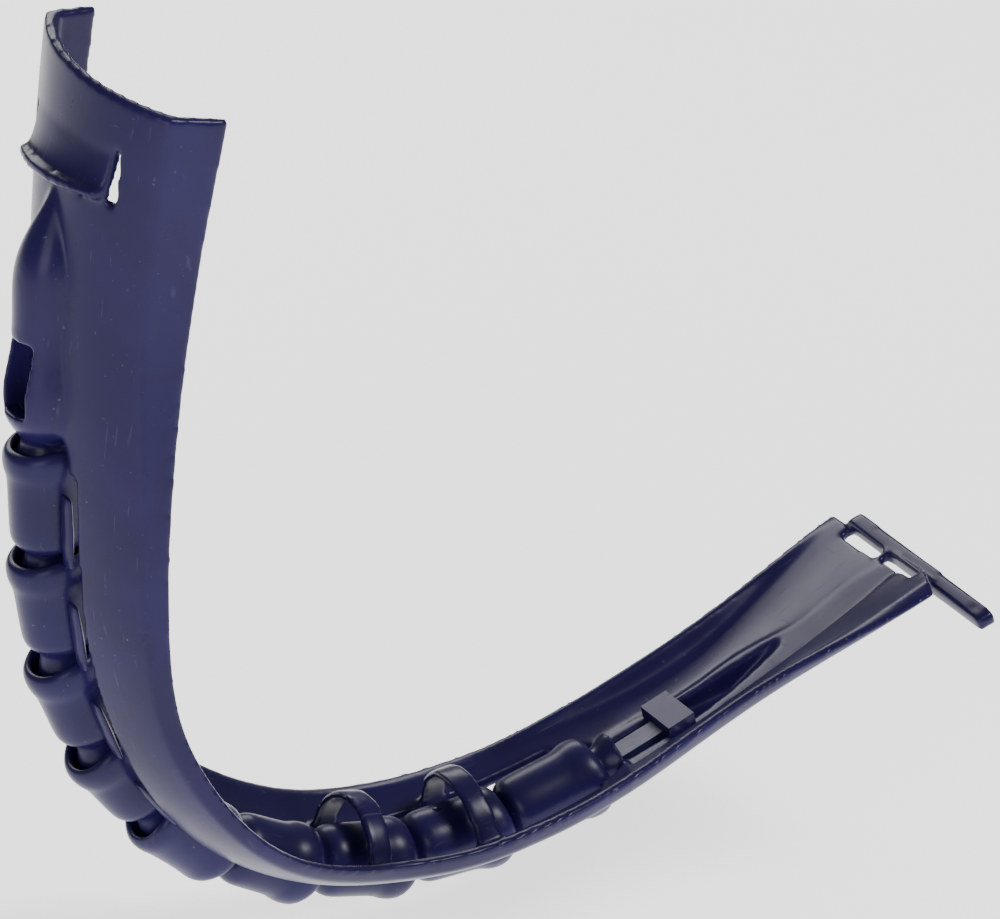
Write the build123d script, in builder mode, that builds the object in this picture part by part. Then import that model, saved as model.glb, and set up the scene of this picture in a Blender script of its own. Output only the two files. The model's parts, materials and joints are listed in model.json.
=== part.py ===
from build123d import *
import math
import os

# Harness band of a catcher's mask: a channel-shaped shell that runs round the back of
# the head, with a spine of barrel links along the outside of its centre line.
# Frame: millimetres, +Z up. The band bends in the XZ plane and its width runs along Y.
# The origin is the middle of the seat that the back of the head rests in.

# ------------------------------------------------------------ the centre line
bend_radius = 66.0            # tight part of the bend
bend_turn = 34.0              # degrees
shoulder_radius = 90.0        # gentler part beside it
shoulder_turn = 14.0          # degrees
arm_radius = 500.0            # nearly straight arm
half_length = 154.0           # half the band, along its centre line
chord_tilt = 40.0             # degrees that the line between the two ends falls towards +X
seat_depth = 7.8              # origin, inward from the centre line at the bend

# ------------------------------------------------------------ spine
necks = [5.5, 24.0, 43.5, 63.5, 84.0]     # places of the ball joints, from the middle
upper_spine_lift = [(0, 0.0), (30, 0.0), (62, 0.6), (half_length, 0.6)]
lower_spine_dip = 60.0         # from here the spine of the lower arm runs inward
lower_spine_ease = 24.0
lower_spine_slope = 0.15
barrel_radius = 6.7
collar_radius = 7.5
collar_length = 3.4
ball_radius = 5.3
neck_radius = 3.7
ball_clearance = 0.35
mouth_reach = 2.4             # collar past the centre of the ball in it
flange_thickness = 1.8
flange_clearance = 0.35
flange_start = 4.5
lip_round = 0.8
nose_gap = 0.9
nose_round = 2.2

# ------------------------------------------------------------ shell
wall = 2.0
rim_wall = 1.7
rim_step = 1.4                # free edge past the corner of the channel
slot_half = 10.2
length_gap = 0.8              # between two lengths of the shell
# place, near half width, near drop, near side depth, crown, far side depth, far half
# width, far drop: all measured from the centre line
upper_sections = [
    (0.0, 26.7, 7.8, 2.6, 1.0, 2.6, 26.7, 7.8),
    (33.0, 23.0, 9.3, 3.2, 1.0, 1.6, 22.6, 5.2),
    (54.0, 24.0, 10.4, 3.8, 1.3, 1.6, 20.2, 4.6),
    (77.0, 23.8, 11.7, 5.0, 1.5, 2.4, 17.8, 5.2),
    (115.0, 20.6, 16.6, 8.6, 1.2, 6.6, 17.0, 10.2),
    (half_length, 22.8, 19.2, 10.6, 0.2, 9.4, 21.6, 14.0),
]
lower_sections = [
    (0.0, 26.7, 7.8, 2.6, 1.0, 2.6, 26.7, 7.8),
    (33.0, 23.0, 9.3, 3.2, 1.0, 1.6, 22.6, 5.2),
    (54.0, 24.0, 10.4, 3.4, 0.8, 1.6, 20.2, 4.6),
    (77.0, 23.8, 11.7, 3.2, -0.4, 2.4, 17.8, 5.2),
    (115.0, 20.6, 16.6, 3.0, -5.4, 5.0, 17.0, 10.4),
    (half_length, 23.2, 18.6, 0.9, -14.6, 1.0, 21.6, 14.6),
]

# how far the ends reach past the end of the centre line: the upper one is cut aslant, and
# the lower one loses its near corner
end_spare = 5.5
upper_end_near = -1.5
upper_end_far = 5.0
lower_end = 1.2
corner_start = 14.0
corner_cut = 6.0

# ------------------------------------------------------------ arches over the spine
arch_places = [36.5, 59.5]
arch_width = 4.8
arch_thickness = 1.5
arch_level = -1.4

# ------------------------------------------------------------ housings and tongues
upper_housing_radius = 6.2
lower_housing_radius = 5.2
housing_wall = 1.3
housing_start = 87.4
housing_full = 118.0          # up to here it has its full radius
housing_nose = 139.0
upper_nose_lift = -0.9
lower_nose_lift = -14.0
collar_clearance = 0.9
pocket_start = 92.0
pocket_end = 129.0
pocket_half = 3.4
window_start = 93.5
window_end = 106.5
window_half = 3.9
tongue_half = 2.3
tongue_thickness = 2.2
tongue_start = 82.0
tongue_end = 104.0
tongue_clearance = 0.4
keeper_start = 101.0
keeper_length = 5.6
keeper_thickness = 1.5
keeper_land = 1.8             # on the shell at each side of the pocket

# ------------------------------------------------------------ strap hook and strap bar
strap_width = 25.0
hook_top = 9.5                # from the end of the band
hook_bottom = 19.0
hook_slit = 1.5
tab_length = 7.0
tab_lift = 3.4
tab_thickness = 2.0
lip_length = 1.8
lip_thickness = 3.6
bar_thickness = 3.2
bar_width = 3.4
bar_length = 47.0
bar_start = -15.0
bar_place = 0.8               # bar past the end of the shell
bar_lean = 1.7                # degrees
bar_level = -14.4
bar_slot = 2.3
bar_bridge = 1.4
fork_gap = 0.7
fork_depth = 5.0


def centre(s):
    """Place and tangent angle at s on the centre line, negative towards the upper end."""
    p, g, angle, left = 0.0, 0.0, 0.0, abs(s)
    for radius, turn in ((bend_radius, bend_turn), (shoulder_radius, shoulder_turn), (arm_radius, 90)):
        step = min(left / radius, math.radians(turn))
        p += radius * (math.sin(angle + step) - math.sin(angle))
        g += radius * (math.cos(angle) - math.cos(angle + step))
        angle += step
        left -= step * radius
    side = -1 if s < 0 else 1
    return side * p, g, side * angle


def direction(p, g):
    """A direction along the chord of the band and into its opening, in the frame of the part."""
    tilt = math.radians(chord_tilt)
    return Vector(p * math.cos(tilt) + g * math.sin(tilt), 0, g * math.cos(tilt) - p * math.sin(tilt))


def station(s, shift=0.0, lift=0.0):
    """Plane across the band at s: x to the -Y side, y outward, z along the band."""
    p, g, angle = centre(s)
    along = direction(math.cos(angle), math.sin(angle))
    inward = direction(-math.sin(angle), math.cos(angle))
    origin = direction(p, g - seat_depth) + along * shift - inward * lift
    return Plane(origin=origin, x_dir=(0, -1, 0), z_dir=along)


def between(s, table):
    """Smooth value at s in a list of (place, value)."""
    for (s0, v0), (s1, v1) in zip(table, table[1:]):
        if s <= s1:
            t = (s - s0) / (s1 - s0)
            return v0 + (v1 - v0) * t * t * (3 - 2 * t)
    return table[-1][1]


def profile(s, column):
    """One column of the section table at s, through its rows with a smooth slope."""
    rows = upper_sections if s < 0 else lower_sections
    place = min(abs(s), half_length)
    points = [(row[0], row[column]) for row in rows]
    slopes = [0.0]
    for (s0, v0), (s1, v1), (s2, v2) in zip(points, points[1:], points[2:]):
        slopes.append((v2 - v0) / (s2 - s0))
    slopes.append((points[-1][1] - points[-2][1]) / (points[-1][0] - points[-2][0]))
    for i in range(len(points) - 1):
        (s0, v0), (s1, v1) = points[i], points[i + 1]
        if place <= s1:
            t = (place - s0) / (s1 - s0)
            span = s1 - s0
            return ((1 + 2 * t) * (1 - t) ** 2 * v0 + t * (1 - t) ** 2 * span * slopes[i]
                    + t * t * (3 - 2 * t) * v1 + t * t * (t - 1) * span * slopes[i + 1])


def spine_lift(s):
    """How far the axis of the spine lies outward of the centre line at s."""
    if s < 0:
        return between(-s, upper_spine_lift)
    run = max(s - lower_spine_dip, 0)
    if run < lower_spine_ease:
        return -lower_spine_slope * run * run / (2 * lower_spine_ease)
    return -lower_spine_slope * (run - lower_spine_ease / 2)


def spine(s):
    """Point on the axis of the spine at s."""
    return station(s, lift=spine_lift(s)).origin


def channel(s, shift=0.0):
    """Closed outline of the shell across the band at s."""
    near, near_drop, near_side = profile(s, 1), profile(s, 2), profile(s, 3)
    crown = profile(s, 4)
    far_side, far, far_drop = profile(s, 5), profile(s, 6), profile(s, 7)
    near_corner = (near - rim_step, near_side - near_drop)
    far_corner = (rim_step - far, far_side - far_drop)
    with BuildSketch(station(s, shift)) as section:
        with BuildLine():
            outer = ThreePointArc(far_corner, (0, crown), near_corner)
            inner = ThreePointArc((far_corner[0] + wall, far_corner[1] - wall), (0, crown - wall),
                                  (near_corner[0] - wall, near_corner[1] - wall))
            Polyline(outer @ 1, (near, -near_drop), (near - rim_wall, -near_drop - 0.4), inner @ 1)
            Polyline(outer @ 0, (-far, -far_drop), (rim_wall - far, -far_drop - 0.4), inner @ 0)
        make_face()
    return section.sketch


def side_outline(first, last, low, high, steps=6):
    """X and Z of a strip along the band from first to last, between two levels at each place."""
    places = [first + (last - first) * i / steps for i in range(steps + 1)]
    corners = [station(s, lift=low(s)).origin for s in places]
    corners += [station(s, lift=high(s)).origin for s in reversed(places)]
    return [(corner.X, corner.Z) for corner in corners]


def strip(first, last, half, low, high):
    """Solid of constant width along the band, between two levels."""
    with BuildPart() as solid:
        with BuildSketch(Plane(origin=(0, half, 0), x_dir=(1, 0, 0), z_dir=(0, -1, 0))):
            with BuildLine():
                Polyline(*side_outline(first, last, low, high), close=True)
            make_face()
        extrude(amount=2 * half)
    return solid.part


def finish(part, name):
    part.label = name
    export_step(part, "parts/" + name + ".step")


os.makedirs("parts", exist_ok=True)

# ------------------------------------------------------------ lengths of the shell
bounds = [-s for s in reversed(necks)] + necks
for number in range(1, 10):
    first, last = bounds[number - 1], bounds[number]
    with BuildPart() as shell_length:
        for s, shift in ((first, length_gap / 2), ((first + last) / 2, 0.0), (last, -length_gap / 2)):
            add(channel(s, shift))
        loft()
        with BuildSketch(Plane.XZ):
            Circle(2 * half_length)
        extrude(amount=slot_half, both=True, mode=Mode.SUBTRACT)
        for place in arch_places:
            for s in (-place, place):
                if first < s < last:
                    with BuildSketch(station(s, shift=-arch_width / 2)):
                        with Locations((0, arch_level)):
                            Circle(slot_half + arch_thickness)
                            Circle(slot_half, mode=Mode.SUBTRACT)
                            with Locations((0, slot_half)):
                                Rectangle(4 * slot_half, 2 * slot_half, mode=Mode.SUBTRACT)
                    extrude(amount=arch_width)
    finish(shell_length.part, "shell_length_%d" % number)

# ------------------------------------------------------------ spine links
# Each link has a ball at the end nearer the middle of the band and a mouth at the other;
# the middle link has a mouth at both ends.
cup_radius = ball_radius + ball_clearance


def mouth(end, inwards):
    """Points of a collar from its lip to the barrel: end is its ball centre along the link."""
    return [
        (0, end - inwards * mouth_reach),
        (collar_radius - lip_round, end - inwards * mouth_reach),
        (collar_radius, end + inwards * (lip_round - mouth_reach)),
        (collar_radius, end + inwards * (collar_length - mouth_reach)),
        (barrel_radius, end + inwards * (collar_length - mouth_reach + collar_radius - barrel_radius)),
    ]


for number in range(1, 10):
    outer_end, inner_end = bounds[number - 1], bounds[number]
    next_neck = bounds[min(number + 1, 9)]
    if number > 5:
        outer_end, inner_end = inner_end, outer_end
        next_neck = bounds[number - 2]
    foot, tip = spine(outer_end), spine(inner_end)
    length = (tip - foot).length
    along = (tip - foot).normalized()
    across = Vector(0, -1, 0)
    with BuildPart() as spine_link:
        with BuildSketch(Plane(origin=foot, x_dir=across, z_dir=across.cross(along))):
            with BuildLine():
                if number == 5:
                    Polyline(*mouth(0, 1), *reversed(mouth(length, -1)), close=True)
                else:
                    turn = along.get_angle(spine(next_neck) - tip)
                    nose_end = length - mouth_reach - nose_gap - barrel_radius * math.sin(math.radians(turn))
                    Polyline(*mouth(0, 1), (barrel_radius, nose_end - nose_round))
                    RadiusArc((barrel_radius, nose_end - nose_round), (neck_radius, nose_end), nose_round * 1.3)
                    Polyline((neck_radius, nose_end), (neck_radius, length), (0, length), (0, -mouth_reach))
            make_face()
        revolve(axis=Axis(foot, along))
        if number < 5:
            with BuildSketch(Plane(origin=foot + along * flange_start, x_dir=across, z_dir=along)):
                flange_end = slot_half - flange_clearance
                flange_width = flange_end - barrel_radius + 1
                with Locations((flange_end - flange_width / 2, 0)):
                    Rectangle(flange_width, flange_thickness)
            extrude(amount=length - 2 * flange_start)
        if number != 5:
            with Locations(tip):
                Sphere(ball_radius)
        else:
            with Locations(tip):
                Sphere(cup_radius, mode=Mode.SUBTRACT)
        with Locations(foot):
            Sphere(cup_radius, mode=Mode.SUBTRACT)
    finish(spine_link.part, "spine_link_%d" % number)


# ------------------------------------------------------------ arms
def housing_size(s, side):
    """Radius and lift of the housing round the tongue at s."""
    full = upper_housing_radius if side < 0 else lower_housing_radius
    flush = upper_nose_lift if side < 0 else lower_nose_lift
    radius = between(s, [(housing_start, neck_radius), (housing_start + 3.5, full), (housing_full, full),
                         (housing_nose, 0.8)])
    lift = spine_lift(side * s)
    if s > housing_full:
        lift += (flush - lift) * (s - housing_full) / (housing_nose - housing_full)
    return radius, lift


def outer_level(s, x):
    """Level of the outer face of the shell at s, x across it."""
    near, near_level = profile(s, 1) - rim_step, profile(s, 3) - profile(s, 2)
    far, far_level = rim_step - profile(s, 6), profile(s, 5) - profile(s, 7)
    crown = profile(s, 4)
    bend = ((near_level - crown) / near - (far_level - crown) / far) / (near - far)
    slope = (near_level - crown) / near - bend * near
    return crown + slope * x + bend * x * x


def band_strip(s, half, lift, low, high, shift=0.0):
    """Section of a strip that follows the outer face of the shell, between two levels over it."""
    levels = [outer_level(s, x) + lift for x in (-half, 0, half)]
    with BuildSketch(station(s, shift)) as section:
        with BuildLine():
            top = ThreePointArc((-half, levels[0] + high), (0, levels[1] + high), (half, levels[2] + high))
            base = ThreePointArc((-half, levels[0] + low), (0, levels[1] + low), (half, levels[2] + low))
            Line(top @ 0, base @ 0)
            Line(top @ 1, base @ 1)
        make_face()
    return section.sketch


def arm_body(side):
    """Shell of one arm with its housing, open along the inside for the tongue."""
    joint = side * necks[-1]
    with BuildPart() as arm:
        add(channel(joint, side * length_gap / 2))
        for s in (93, 104, 116, 128, 141):
            add(channel(side * s))
        add(channel(side * half_length, side * end_spare))
        loft()
        with Locations(spine(joint)):
            Sphere(collar_radius + collar_clearance, mode=Mode.SUBTRACT)
        for s in housing_places:
            radius, lift = housing_size(s, side)
            with BuildSketch(station(side * s, lift=lift)):
                Circle(radius)
        loft()
        floor = lambda s: profile(s, 4) - wall
        inside = strip(side * (housing_start + 4), side * half_length, slot_half - 2, lambda s: -40, floor)
        add(inside, mode=Mode.SUBTRACT)
        with Locations(spine(joint)):
            Sphere(ball_radius)
        with BuildSketch(station(joint, lift=spine_lift(joint))):
            Circle(neck_radius)
        extrude(amount=side * (housing_start - necks[-1] + 0.5))
        for s, half in ((pocket_start, pocket_half), (keeper_start + keeper_length, pocket_half),
                        ((keeper_start + keeper_length + pocket_end) / 2, 0.7 * pocket_half),
                        (pocket_end, 0.6)):
            radius, lift = housing_size(s, side)
            depth = math.sqrt((radius - housing_wall) ** 2 - half ** 2) if radius > housing_wall + half else 0.3
            with BuildSketch(station(side * s, lift=lift)):
                with Locations((0, (depth - 20) / 2)):
                    Rectangle(2 * half, 20 + depth)
        loft(ruled=True, mode=Mode.SUBTRACT)
        bore = tongue_thickness / 2 + tongue_clearance
        add(strip(side * (necks[-1] - 7), side * (pocket_start + 1), tongue_half + tongue_clearance,
                  lambda s: spine_lift(s) - bore, lambda s: spine_lift(s) + bore), mode=Mode.SUBTRACT)
    return arm.part


def end_waste(side, *edge):
    """Waste past the end of an arm: its edge is given as (across, past the centre line)."""
    end = station(side * half_length)
    reach = 40.0
    with BuildPart() as waste:
        with BuildSketch(Plane(origin=end.origin, x_dir=end.x_dir, z_dir=end.y_dir * -side)):
            with BuildLine():
                Polyline(*edge, (edge[-1][0], reach), (edge[0][0], reach), close=True)
            make_face()
        extrude(amount=reach, both=True)
    return waste.part


def tongue(side):
    half = tongue_thickness / 2
    return strip(side * tongue_start, side * tongue_end, tongue_half, lambda s: spine_lift(s) - half,
                 lambda s: spine_lift(s) + half)


def keeper(side, arm):
    """Block across the pocket on the inside of the arm, which holds the tongue in."""
    first, last = side * keeper_start, side * (keeper_start + keeper_length)
    under = lambda s: spine_lift(s) - tongue_thickness / 2 - tongue_clearance
    floor = lambda s: min(under(s), profile(s, 4) - wall) - keeper_thickness
    with BuildPart() as block:
        add(strip(first, last, pocket_half + keeper_land, floor, lambda s: max(under(s), profile(s, 4) - wall)))
        add(strip(first, last, tongue_half + tongue_clearance, under, lambda s: under(s) + 8), mode=Mode.SUBTRACT)
        add(arm, mode=Mode.SUBTRACT)
    return block.part


housing_places = [housing_start, housing_start + 1.5, housing_start + 3.5, 106, housing_full, 127, 134, housing_nose]

with BuildPart() as upper_arm_shell:
    add(arm_body(-1))
    add(end_waste(-1, (-30, upper_end_far + 1), (30, upper_end_near - 1)), mode=Mode.SUBTRACT)
    add(strip(-window_start, -window_end, window_half, lambda s: spine_lift(s) + 1.5,
              lambda s: spine_lift(s) + 12), mode=Mode.SUBTRACT)
    root, free = hook_top - half_length, hook_bottom - half_length
    add(strip(root, free, strap_width / 2 + hook_slit, lambda s: -14, lambda s: 8), mode=Mode.SUBTRACT)
    for share in (-0.05, 0.5, 1.0):
        add(band_strip(root + tab_length * share, strap_width / 2, tab_lift * max(share, 0) ** 1.5,
                       -tab_thickness, 0))
    loft()
    add(band_strip(root + tab_length, strap_width / 2, tab_lift, -tab_thickness, lip_thickness - tab_thickness))
    add(band_strip(root + tab_length + lip_length, strap_width / 2, tab_lift, -tab_thickness,
                   lip_thickness - tab_thickness))
    loft()
finish(upper_arm_shell.part, "upper_arm_shell")

with BuildPart() as lower_arm_shell:
    add(arm_body(1))
    add(end_waste(1, (-30, lower_end), (corner_start, lower_end), (30, lower_end - corner_cut)),
        mode=Mode.SUBTRACT)
    middle = bar_start + bar_length / 2
    with BuildSketch(station(half_length, shift=bar_place)):
        with Locations(Location((middle, bar_level), bar_lean)):
            SlotOverall(bar_length, bar_thickness)
    extrude(amount=bar_width)
    for low, high in ((bar_start + 1.5, -bar_bridge / 2), (bar_bridge / 2, -bar_start - 1.5)):
        with BuildSketch(station(half_length, shift=bar_place - bar_slot)):
            with Locations(((low + high) / 2, bar_level)):
                Rectangle(high - low, 16)
        extrude(amount=bar_slot, mode=Mode.SUBTRACT)
    with BuildSketch(station(half_length, shift=bar_place + bar_width / 2 - fork_gap / 2)):
        with Locations(Location((middle, bar_level), bar_lean)):
            with Locations((bar_length / 2 - fork_depth / 2, 0)):
                Rectangle(fork_depth, 2 * bar_thickness)
    extrude(amount=fork_gap, mode=Mode.SUBTRACT)
finish(lower_arm_shell.part, "lower_arm_shell")

finish(tongue(-1), "upper_tongue")
finish(tongue(1), "lower_tongue")
finish(keeper(-1, upper_arm_shell.part), "upper_keeper")
finish(keeper(1, lower_arm_shell.part), "lower_keeper")
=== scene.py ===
"""Harness band of a catcher's mask: one glossy navy moulding that bends, with barrel links on its back."""
import json
import math

import bmesh
import bpy
import numpy as np
from mathutils import Matrix, Vector

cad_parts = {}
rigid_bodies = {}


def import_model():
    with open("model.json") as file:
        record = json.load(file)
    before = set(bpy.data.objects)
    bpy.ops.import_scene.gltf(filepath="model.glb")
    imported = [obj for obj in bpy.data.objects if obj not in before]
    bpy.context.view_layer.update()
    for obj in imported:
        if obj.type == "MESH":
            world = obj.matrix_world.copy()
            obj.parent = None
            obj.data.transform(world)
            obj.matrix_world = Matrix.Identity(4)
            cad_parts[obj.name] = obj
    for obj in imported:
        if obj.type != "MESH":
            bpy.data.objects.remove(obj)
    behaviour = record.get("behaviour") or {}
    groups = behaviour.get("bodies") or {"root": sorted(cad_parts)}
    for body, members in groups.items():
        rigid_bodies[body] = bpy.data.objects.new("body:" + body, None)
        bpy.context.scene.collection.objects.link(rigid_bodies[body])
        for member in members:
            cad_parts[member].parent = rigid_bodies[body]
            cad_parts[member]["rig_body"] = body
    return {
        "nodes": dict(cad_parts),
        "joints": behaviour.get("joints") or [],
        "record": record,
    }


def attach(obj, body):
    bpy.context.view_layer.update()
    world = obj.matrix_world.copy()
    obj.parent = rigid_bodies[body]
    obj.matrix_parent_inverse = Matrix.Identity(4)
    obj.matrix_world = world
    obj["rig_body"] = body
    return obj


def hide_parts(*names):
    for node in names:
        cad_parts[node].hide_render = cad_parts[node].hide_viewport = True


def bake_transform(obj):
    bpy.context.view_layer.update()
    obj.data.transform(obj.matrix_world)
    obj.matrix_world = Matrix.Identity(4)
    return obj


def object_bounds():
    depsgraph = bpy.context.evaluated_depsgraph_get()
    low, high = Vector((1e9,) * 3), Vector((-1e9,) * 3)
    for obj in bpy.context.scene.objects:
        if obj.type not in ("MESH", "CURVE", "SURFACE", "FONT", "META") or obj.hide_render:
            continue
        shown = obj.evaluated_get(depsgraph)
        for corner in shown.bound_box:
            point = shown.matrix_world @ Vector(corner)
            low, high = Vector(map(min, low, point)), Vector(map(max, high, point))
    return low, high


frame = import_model()
cad_low, cad_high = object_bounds()

MM = 0.001
SIDES = ("upper", "lower")
JOINTS = {joint["name"]: joint for joint in frame["joints"]}


# ---------------------------------------------------------------- shader helpers
class Wire:
    """A shader value that can be used in Python sums."""

    def __init__(self, finish, socket):
        self.finish = finish
        self.socket = socket

    def math(self, operation, *values):
        sockets = dict(enumerate((self,) + values))
        return self.finish.node("ShaderNodeMath", {"operation": operation}, sockets)[0]

    def __add__(self, other):
        return self.math("ADD", other)

    __radd__ = __add__

    def __mul__(self, other):
        return self.math("MULTIPLY", other)

    __rmul__ = __mul__

    def __sub__(self, other):
        return self.math("SUBTRACT", other)

    def __rsub__(self, other):
        return self.math("MULTIPLY", -1.0) + other

    def above(self, low, high):
        """0 under low, 1 over high."""
        ranged = {"Value": self, "From Min": low, "From Max": high}
        return self.finish.node("ShaderNodeMapRange", {"interpolation_type": "SMOOTHSTEP"}, ranged)["Result"]


class Outputs:
    """The outputs of a node, as wires, by name or place."""

    def __init__(self, finish, node):
        self.finish = finish
        self.made = node

    def __getitem__(self, key):
        return Wire(self.finish, self.made.outputs[key])


class Finish:
    """A material under construction."""

    def __init__(self, name):
        self.material = bpy.data.materials.new(name)
        self.material.use_nodes = True
        self.tree = self.material.node_tree
        self.tree.nodes.clear()

    def node(self, kind, settings=None, sockets=None):
        made = self.tree.nodes.new(kind)
        for key, value in (settings or {}).items():
            setattr(made, key, value)
        for key, value in (sockets or {}).items():
            if isinstance(value, Wire):
                self.tree.links.new(value.socket, made.inputs[key])
            else:
                made.inputs[key].default_value = value
        return Outputs(self, made)

    def places(self, stretch=(1, 1, 1)):
        spot = self.node("ShaderNodeTexCoord")["Object"]
        return self.node("ShaderNodeMapping", {}, {"Vector": spot, "Scale": stretch})["Vector"]

    def noise(self, scale, detail=3.0, stretch=(1, 1, 1), distortion=0.0):
        sockets = {"Vector": self.places(stretch), "Scale": scale, "Detail": detail, "Distortion": distortion}
        return self.node("ShaderNodeTexNoise", {}, sockets)["Fac"]

    def mix(self, amount, first, second):
        """Colour between first and second."""
        made = self.node("ShaderNodeMix", {"data_type": "RGBA"}, {"Factor": amount})
        for place, value in ((6, first), (7, second)):
            if isinstance(value, Wire):
                self.tree.links.new(value.socket, made.made.inputs[place])
            else:
                made.made.inputs[place].default_value = value + (1.0,)
        return Wire(self, made.made.outputs[2])

    def close(self, **sockets):
        named = {key.replace("_", " "): value for key, value in sockets.items()}
        shader = self.node("ShaderNodeBsdfPrincipled", {}, named)["BSDF"]
        self.node("ShaderNodeOutputMaterial", {}, {"Surface": shader})
        return self.material


def moulded_navy(name, deep, pale, gloss, scuffs):
    """Glossy injection-moulded plastic: flow shading, fine scuffs and a few specks of dust."""
    made = Finish(name)
    flow = made.noise(38.0, 4.0, distortion=0.6).above(0.35, 0.68)
    cloud = made.noise(140.0, 3.0)
    tint = made.mix(flow * 0.7 + cloud * 0.3, deep, pale)
    lines = made.noise(260.0, 2.0, (0.35, 6.0, 0.5)).above(0.66, 0.78)
    crossing = made.noise(230.0, 2.0, (5.0, 0.4, 5.0)).above(0.69, 0.8)
    scratches = (lines + crossing) * scuffs
    specks = made.noise(900.0, 1.0).above(0.74, 0.8)
    patch = made.noise(60.0, 2.0).above(0.45, 0.65)
    dust = specks * patch
    colour = made.mix(scratches * 0.08 + dust * 0.2, tint, (0.30, 0.29, 0.42))
    rough = cloud * 0.10 + scratches * 0.16 + dust * 0.3 + gloss
    peel = made.noise(420.0, 2.0)
    height = peel * 0.25 + cloud * 0.6 - scratches * 0.5
    bump = made.node("ShaderNodeBump", {}, {"Strength": 0.10, "Distance": 0.00025, "Height": height})["Normal"]
    return made.close(Base_Color=colour, Roughness=rough, Normal=bump, IOR=1.5,
                      Specular_IOR_Level=0.2)


def satin_navy():
    """Drier plastic of the core, with drawing lines along it."""
    made = Finish("core_satin")
    lines = made.noise(300.0, 3.0, (1.0, 5.0, 0.4))
    cloud = made.noise(120.0, 3.0)
    colour = made.mix(cloud, (0.012, 0.011, 0.050), (0.022, 0.022, 0.080))
    bump = made.node("ShaderNodeBump", {}, {"Strength": 0.15, "Distance": 0.0003, "Height": lines})["Normal"]
    return made.close(Base_Color=colour, Roughness=lines * 0.2 + 0.32, Normal=bump)


def studio_floor():
    made = Finish("studio_floor")
    tone = made.mix(made.noise(3.0, 2.0), (0.90, 0.90, 0.90), (0.94, 0.94, 0.94))
    return made.close(Base_Color=tone, Roughness=0.9, Emission_Color=tone, Emission_Strength=1.5)


shell_finish = moulded_navy("shell_gloss", (0.0085, 0.0055, 0.040), (0.0145, 0.0090, 0.066), 0.24, 1.0)
link_finish = moulded_navy("link_gloss", (0.0085, 0.0058, 0.042), (0.0150, 0.0100, 0.070), 0.27, 0.8)
core_finish = satin_navy()


# ---------------------------------------------------------------- the chain of joints
def bend_names(side):
    return [side + "_bend"] + [side + "_bend_%d" % i for i in range(2, 6)]


chain = [JOINTS[name] for name in reversed(bend_names("upper"))]
chain += [JOINTS[name] for name in bend_names("lower")]
knots = [Vector(joint["pos_m"]) for joint in chain]


def tangent(i):
    """Direction of the band at joint i, from the upper end to the lower one."""
    before = knots[max(i - 1, 0)]
    after = knots[min(i + 1, len(knots) - 1)]
    return (after - before).normalized()


# ---------------------------------------------------------------- the shell
SHELL_NODES = ["upper_arm_shell"] + ["shell_length_%d" % i for i in range(1, 10)] + ["lower_arm_shell"]
VOXEL = 0.5 * MM
GAP_REACH = 0.6 * MM          # corners this near a cut are stretched over it
OVERLAP = 0.2 * MM
SMOOTH_SHARE = 0.5
SMOOTH_PASSES = 14
BLEND_HALF = 7.5 * MM         # reach along the cut at each side of a joint; the points it gives are not used
CUT_FACING = 0.95
CUT_SEARCH = 5 * MM


def cut_direction(i):
    """Direction across the cut at joint i, from the flat end of a length of the shell."""
    mesh = frame["nodes"][SHELL_NODES[min(i + 1, 9)]].data
    rough = tangent(i)
    total = Vector()
    for face in mesh.polygons:
        facing = face.normal.dot(rough)
        if abs(facing) > CUT_FACING and abs((face.center - knots[i]).dot(rough)) < CUT_SEARCH:
            total += face.normal * face.area * math.copysign(1, facing)
    return total.normalized() if total.length else rough


cuts = [cut_direction(i) for i in range(len(knots))]


HOOK = next(mount for mount in frame["record"]["mounts"] if mount["name"] == "upper_strap_hook")
TAB_HALF = 12.7 * MM
TAB_ROOT = 8.0 * MM
TAB_LENGTH = 7.0 * MM
TAB_DROP = 1.9 * MM
TAB_PAST_HOOK = 1.2 * MM
TAB_DEPTH = 9 * MM


def lower_tab(points):
    """Lays the lanced tab of the hook closer to the shell, more towards its lip."""
    outward = Vector(HOOK["axis"]).normalized()
    along = outward.cross(Vector((0, 1, 0)))
    if along.dot(knots[0] - knots[1]) < 0:
        along = -along
    offset = points - np.array(HOOK["pos_m"])
    place = offset @ np.array(along)
    level = offset @ np.array(outward)
    within = (place < TAB_ROOT) & (place > -TAB_PAST_HOOK) & (np.abs(level) < TAB_DEPTH)
    chosen = within & (np.abs(points[:, 1]) < TAB_HALF)
    share = np.clip((TAB_ROOT - place) / TAB_LENGTH, 0, 1) ** 1.5
    points[chosen] -= np.outer(share * TAB_DROP, np.array(outward))[chosen]


def closed_copy(index):
    """Corners and faces of a shell node, stretched over the cuts at its ends."""
    mesh = frame["nodes"][SHELL_NODES[index]].data
    points = np.array([v.co for v in mesh.vertices])
    if index == 0:
        lower_tab(points)
    for knot, stretch in ((index - 1, -1), (index, 1)):
        if 0 <= knot < len(knots):
            along = np.array(cuts[knot])
            offset = (points - np.array(knots[knot])) @ along
            edge = np.abs(offset) < GAP_REACH
            points[edge] += np.outer(OVERLAP * stretch - offset[edge], along)
    return points, [tuple(p.vertices) for p in mesh.polygons]


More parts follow.
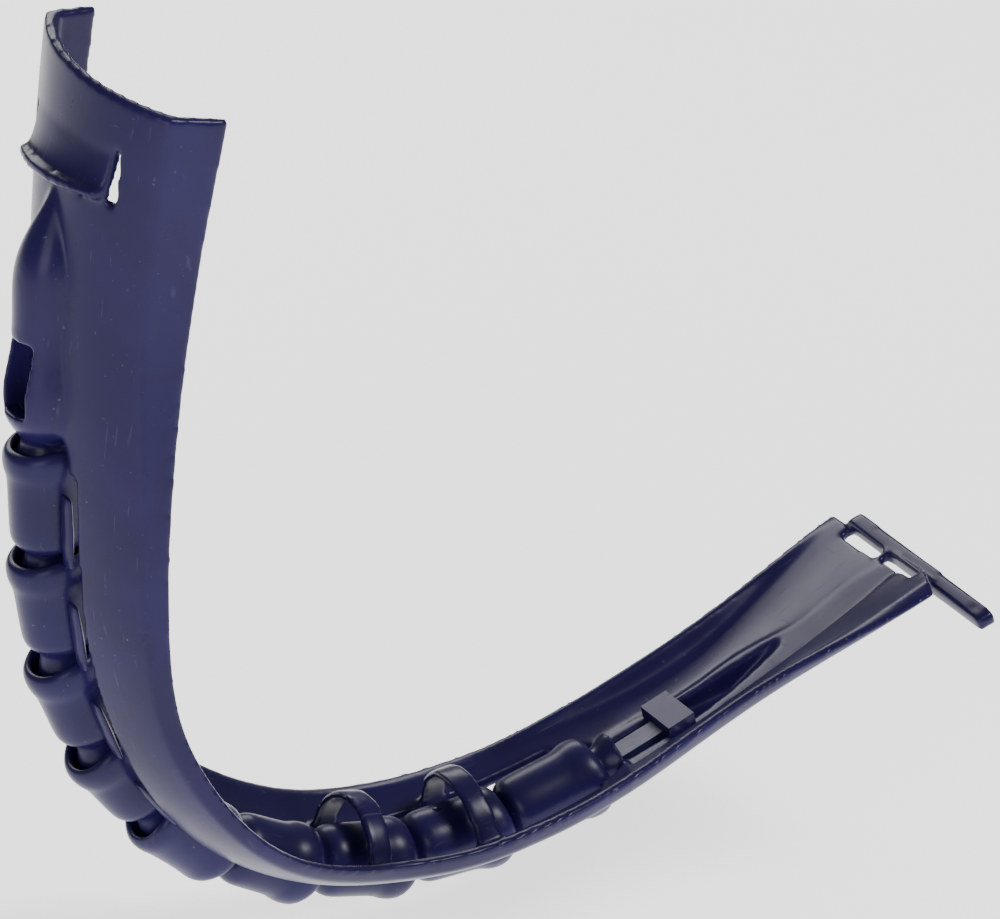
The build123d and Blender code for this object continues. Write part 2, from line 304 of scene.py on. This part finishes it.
def whole_shell():
    """All the lengths of the shell as one moulding."""
    points, faces, count = [], [], 0
    for index in range(len(SHELL_NODES)):
        some, corners = closed_copy(index)
        points.append(some)
        faces += [tuple(c + count for c in face) for face in corners]
        count += len(some)
    mesh = bpy.data.meshes.new("shell_whole")
    mesh.from_pydata(np.vstack(points).tolist(), [], faces)
    body = bmesh.new()
    body.from_mesh(mesh)
    bmesh.ops.remove_doubles(body, verts=body.verts, dist=1e-6)
    body.to_mesh(mesh)
    body.free()
    moulding = bpy.data.objects.new("shell_whole", mesh)
    bpy.context.scene.collection.objects.link(moulding)
    remesh = moulding.modifiers.new("remesh", "REMESH")
    remesh.mode = "VOXEL"
    remesh.voxel_size = VOXEL
    soften = moulding.modifiers.new("soften", "SMOOTH")
    soften.factor = SMOOTH_SHARE
    soften.iterations = SMOOTH_PASSES
    graph = bpy.context.evaluated_depsgraph_get()
    made = bpy.data.meshes.new_from_object(moulding.evaluated_get(graph))
    bpy.data.objects.remove(moulding)
    return made


def shell_pieces():
    """The moulding parted between the joints, one piece for the stretch nearest each joint."""
    made = whole_shell()
    count = len(made.vertices)
    points = np.zeros(count * 3, np.float32)
    made.vertices.foreach_get("co", points)
    points = points.reshape(-1, 3).astype(float)
    normals = np.zeros(count * 3, np.float32)
    made.vertex_normals.foreach_get("vector", normals)
    normals = normals.reshape(-1, 3)
    corners = np.zeros(len(made.loops), np.int32)
    made.loops.foreach_get("vertex_index", corners)
    sizes = np.zeros(len(made.polygons), np.int32)
    made.polygons.foreach_get("loop_total", sizes)
    assert (sizes == 4).all()
    quads = corners.reshape(-1, 4)
    centres = points[quads].mean(axis=1)
    flat = centres[:, [0, 2]]
    away = np.stack([np.linalg.norm(flat - np.array([knot.x, knot.z]), axis=1) for knot in knots])
    nearest = away.argmin(axis=0)
    for i, joint in enumerate(chain):
        chosen = quads[nearest == i]
        used, renamed = np.unique(chosen, return_inverse=True)
        name = "shell_" + joint["name"]
        mesh = bpy.data.meshes.new(name)
        mesh.from_pydata(points[used].tolist(), [], renamed.reshape(-1, 4).tolist())
        mesh.shade_smooth()
        mesh.normals_split_custom_set_from_vertices(normals[used].tolist())
        mesh.materials.append(shell_finish)
        piece = bpy.data.objects.new(name, mesh)
        bpy.context.scene.collection.objects.link(piece)
        outward = cuts[i] if joint["name"].startswith("lower") else -cuts[i]
        reach = outward * BLEND_HALF
        tuple(knots[i] - reach)
        tuple(knots[i] + reach)
        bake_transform(piece)
        replaced = [SHELL_NODES[i]] if i < 5 else [SHELL_NODES[i + 1]]
        if i == 5:
            replaced.append(SHELL_NODES[5])
        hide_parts(*replaced)


# ---------------------------------------------------------------- the links
BARREL = 6.7 * MM
LIP = 2.8 * MM
EAR = 0.9 * MM
EAR_REACH = 4.0 * MM
SEGMENTS = 72
GATE_MARKED = (3, 8)          # links that show where the plastic was let in


def collar_profile():
    """Places along and radii from deep inside a mouth, over its lip, to the barrel."""
    inside = [(5.2, 0.0), (5.1, 2.2), (4.0, 4.1), (1.6, 5.4), (-1.2, 5.4)]
    outside = [(-2.6, 5.5), (-2.8, 6.1), (-2.5, 6.9), (-1.5, 7.45), (0.3, 7.5), (1.6, 7.2),
               (2.6, 6.85), (4.2, 6.7)]
    return [(along * MM, radius * MM) for along, radius in inside + outside]


def nose_profile(length, turn):
    """From the barrel, round its shoulder and neck, to the ball in the next mouth."""
    shoulder = length - LIP - 0.6 * MM - BARREL * math.sin(turn)
    rounded = [(shoulder - 3.6 * MM, 6.68 * MM), (shoulder - 2.0 * MM, 6.5 * MM),
               (shoulder - 0.8 * MM, 5.9 * MM), (shoulder - 0.1 * MM, 4.9 * MM), (shoulder + 0.3 * MM, 4.0 * MM)]
    ball = [(length - 2.6 * MM, 3.9 * MM), (length - 0.8 * MM, 4.85 * MM), (length + 1.0 * MM, 4.85 * MM),
            (length + 3.6 * MM, 3.4 * MM), (length + 4.9 * MM, 0.0)]
    return rounded + [point for point in ball if point[0] > shoulder + 0.4 * MM]


def spun(name, profile, foot, along, ear_at):
    """A turned solid whose lips rise at both sides of the band."""
    side = Vector((0, -1, 0))
    back = along.cross(side)
    body = bmesh.new()
    rings = []
    for place, radius in profile:
        if radius < 1e-6:
            rings.append([body.verts.new(foot + along * place)])
            continue
        ring = []
        for k in range(SEGMENTS):
            angle = 2 * math.pi * k / SEGMENTS
            rise = 0.0
            for lip, sign in ear_at:
                depth = (place - lip) * sign
                if depth < EAR_REACH:
                    share = 1 - max(depth, 0) / EAR_REACH
                    rise -= sign * EAR * share * (math.cos(angle) ** 4)
            spot = foot + along * (place + rise) + (side * math.cos(angle) + back * math.sin(angle)) * radius
            ring.append(body.verts.new(spot))
        rings.append(ring)
    for first, second in zip(rings, rings[1:]):
        for k in range(SEGMENTS):
            j = (k + 1) % SEGMENTS
            if len(first) == 1:
                body.faces.new((first[0], second[k], second[j]))
            elif len(second) == 1:
                body.faces.new((first[k], second[0], first[j]))
            else:
                body.faces.new((first[k], second[k], second[j], first[j]))
    bmesh.ops.recalc_face_normals(body, faces=body.faces)
    mesh = bpy.data.meshes.new(name)
    body.to_mesh(mesh)
    body.free()
    return mesh


def gate_mark(body, spot, out, along):
    """Small round scar where the plastic was let into the mould."""
    turn = Matrix([along, out.cross(along), out]).transposed().to_4x4()
    place = Matrix.Translation(spot) @ turn
    bmesh.ops.create_cone(body, cap_ends=True, segments=20, radius1=1.05 * MM, radius2=0.8 * MM,
                          depth=0.5 * MM, matrix=place)


def side_strip(body, foot, along, length):
    """Thin strip on the near side of an upper link, beside the rail of the shell."""
    side = Vector((0, -1, 0))
    back = side.cross(along)
    turn = Matrix([side, back, along]).transposed().to_4x4()
    place = Matrix.Translation(foot + along * (length / 2 + 0.5 * MM) + side * 8.0 * MM) @ turn
    size = Matrix.Diagonal((3.9 * MM, 1.5 * MM, length - 7 * MM, 1))
    made = bmesh.ops.create_cube(body, size=1.0, matrix=place @ size)
    edges = list({edge for vert in made["verts"] for edge in vert.link_edges})
    bmesh.ops.bevel(body, geom=edges, offset=0.45 * MM, segments=3, affect="EDGES")


def link(number):
    """One barrel link, with its collar at the end of the band and its nose towards the middle."""
    upper = number <= 4
    if number == 5:
        foot, tip = knots[4], knots[5]
        beyond = None
    elif upper:
        foot, tip, beyond = knots[number - 1], knots[number], knots[number + 1]
    else:
        foot, tip, beyond = knots[number], knots[number - 1], knots[number - 2]
    along = (tip - foot).normalized()
    length = (tip - foot).length
    ears = [(-LIP, 1)]
    if number == 5:
        far_mouth = [(length - place, radius) for place, radius in reversed(collar_profile())]
        profile = collar_profile()[:-2] + far_mouth[2:]
        ears.append((length + LIP, -1))
    else:
        profile = collar_profile() + nose_profile(length, along.angle(beyond - tip))
    name = "link_%d" % number
    mesh = spun(name, profile, foot, along, ears)
    body = bmesh.new()
    body.from_mesh(mesh)
    if upper:
        side_strip(body, foot, along, length)
    if number in GATE_MARKED:
        out = along.cross(Vector((0, 1, 0))) if number == 3 else Vector((0, 1, 0)).cross(along)
        lean = (out + Vector((0, -0.9, 0))).normalized() if number == 3 else out
        gate_mark(body, foot + along * length * 0.45 + lean * BARREL, lean, along)
    body.to_mesh(mesh)
    body.free()
    mesh.shade_smooth()
    mesh.materials.append(link_finish)
    piece = bpy.data.objects.new(name, mesh)
    bpy.context.scene.collection.objects.link(piece)
    smooth = piece.modifiers.new("round", "SUBSURF")
    smooth.levels = smooth.render_levels = 1
    node = "spine_link_%d" % number
    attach(piece, frame["nodes"][node]["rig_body"])
    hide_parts(node)


shell_pieces()
for number in range(1, 10):
    link(number)
for side in SIDES:
    for word in ("tongue", "keeper"):
        held = frame["nodes"][side + "_" + word]
        held.data.materials.clear()
        held.data.materials.append(core_finish if word == "tongue" else shell_finish)


# ---------------------------------------------------------------- floor, light and camera
FLOOR_DROP = 12 * MM
FLOOR_SIZE = 12
WORLD_STRENGTH = 0.22
AZIMUTH = -28.4
ELEVATION = 24.3
LENS = 324
SENSOR = 36
CAMERA_DISTANCE = 1.584
BAND_AXIS = Vector((math.sin(math.radians(40)), 0, math.cos(math.radians(40))))


def stage():
    bpy.ops.mesh.primitive_plane_add(size=FLOOR_SIZE, location=(0, 0, cad_low[2] - FLOOR_DROP))
    floor = bpy.context.object
    floor.name = "floor"
    floor.data.materials.append(studio_floor())


def softbox(name, spot, aim, size, power):
    data = bpy.data.lights.new(name, "AREA")
    data.shape = "RECTANGLE"
    data.size, data.size_y = size
    data.energy = power
    lamp = bpy.data.objects.new(name, data)
    lamp.location = spot
    lamp.rotation_euler = (Vector(aim) - Vector(spot)).to_track_quat("-Z", "Y").to_euler()
    bpy.context.scene.collection.objects.link(lamp)


def studio_light():
    world = bpy.data.worlds.new("studio")
    world.use_nodes = True
    sky = world.node_tree.nodes["Background"]
    sky.inputs["Color"].default_value = (1.0, 1.0, 1.0, 1.0)
    sky.inputs["Strength"].default_value = WORLD_STRENGTH
    bpy.context.scene.world = world
    middle = (0.05, 0, 0.05)
    softbox("key", (0.5, -0.5, 0.9), middle, (0.35, 0.35), 9.0)
    softbox("fill", (-0.8, -0.7, 0.4), middle, (0.6, 0.6), 4.0)
    softbox("back", (0.2, 0.9, 0.6), middle, (0.8, 0.3), 5.0)


def camera():
    """Long lens, from the near side and a little above."""
    azimuth, elevation = math.radians(AZIMUTH), math.radians(ELEVATION)
    back = Vector((math.sin(azimuth) * math.cos(elevation), -math.cos(azimuth) * math.cos(elevation),
                   math.sin(elevation)))
    right = Vector((math.cos(azimuth), math.sin(azimuth), 0))
    up = back.cross(right)
    aim = BAND_AXIS * 31.6 * MM + right * 33.4 * MM + up * 32.4 * MM
    data = bpy.data.cameras.new("camera")
    data.sensor_width = SENSOR
    data.lens = LENS
    data.clip_end = 50
    view = bpy.data.objects.new("camera", data)
    view.location = aim + back * CAMERA_DISTANCE
    view.rotation_euler = Matrix([right, up, back]).transposed().to_euler()
    bpy.context.scene.collection.objects.link(view)
    bpy.context.scene.camera = view


stage()
studio_light()
camera()
bpy.context.view_layer.update()
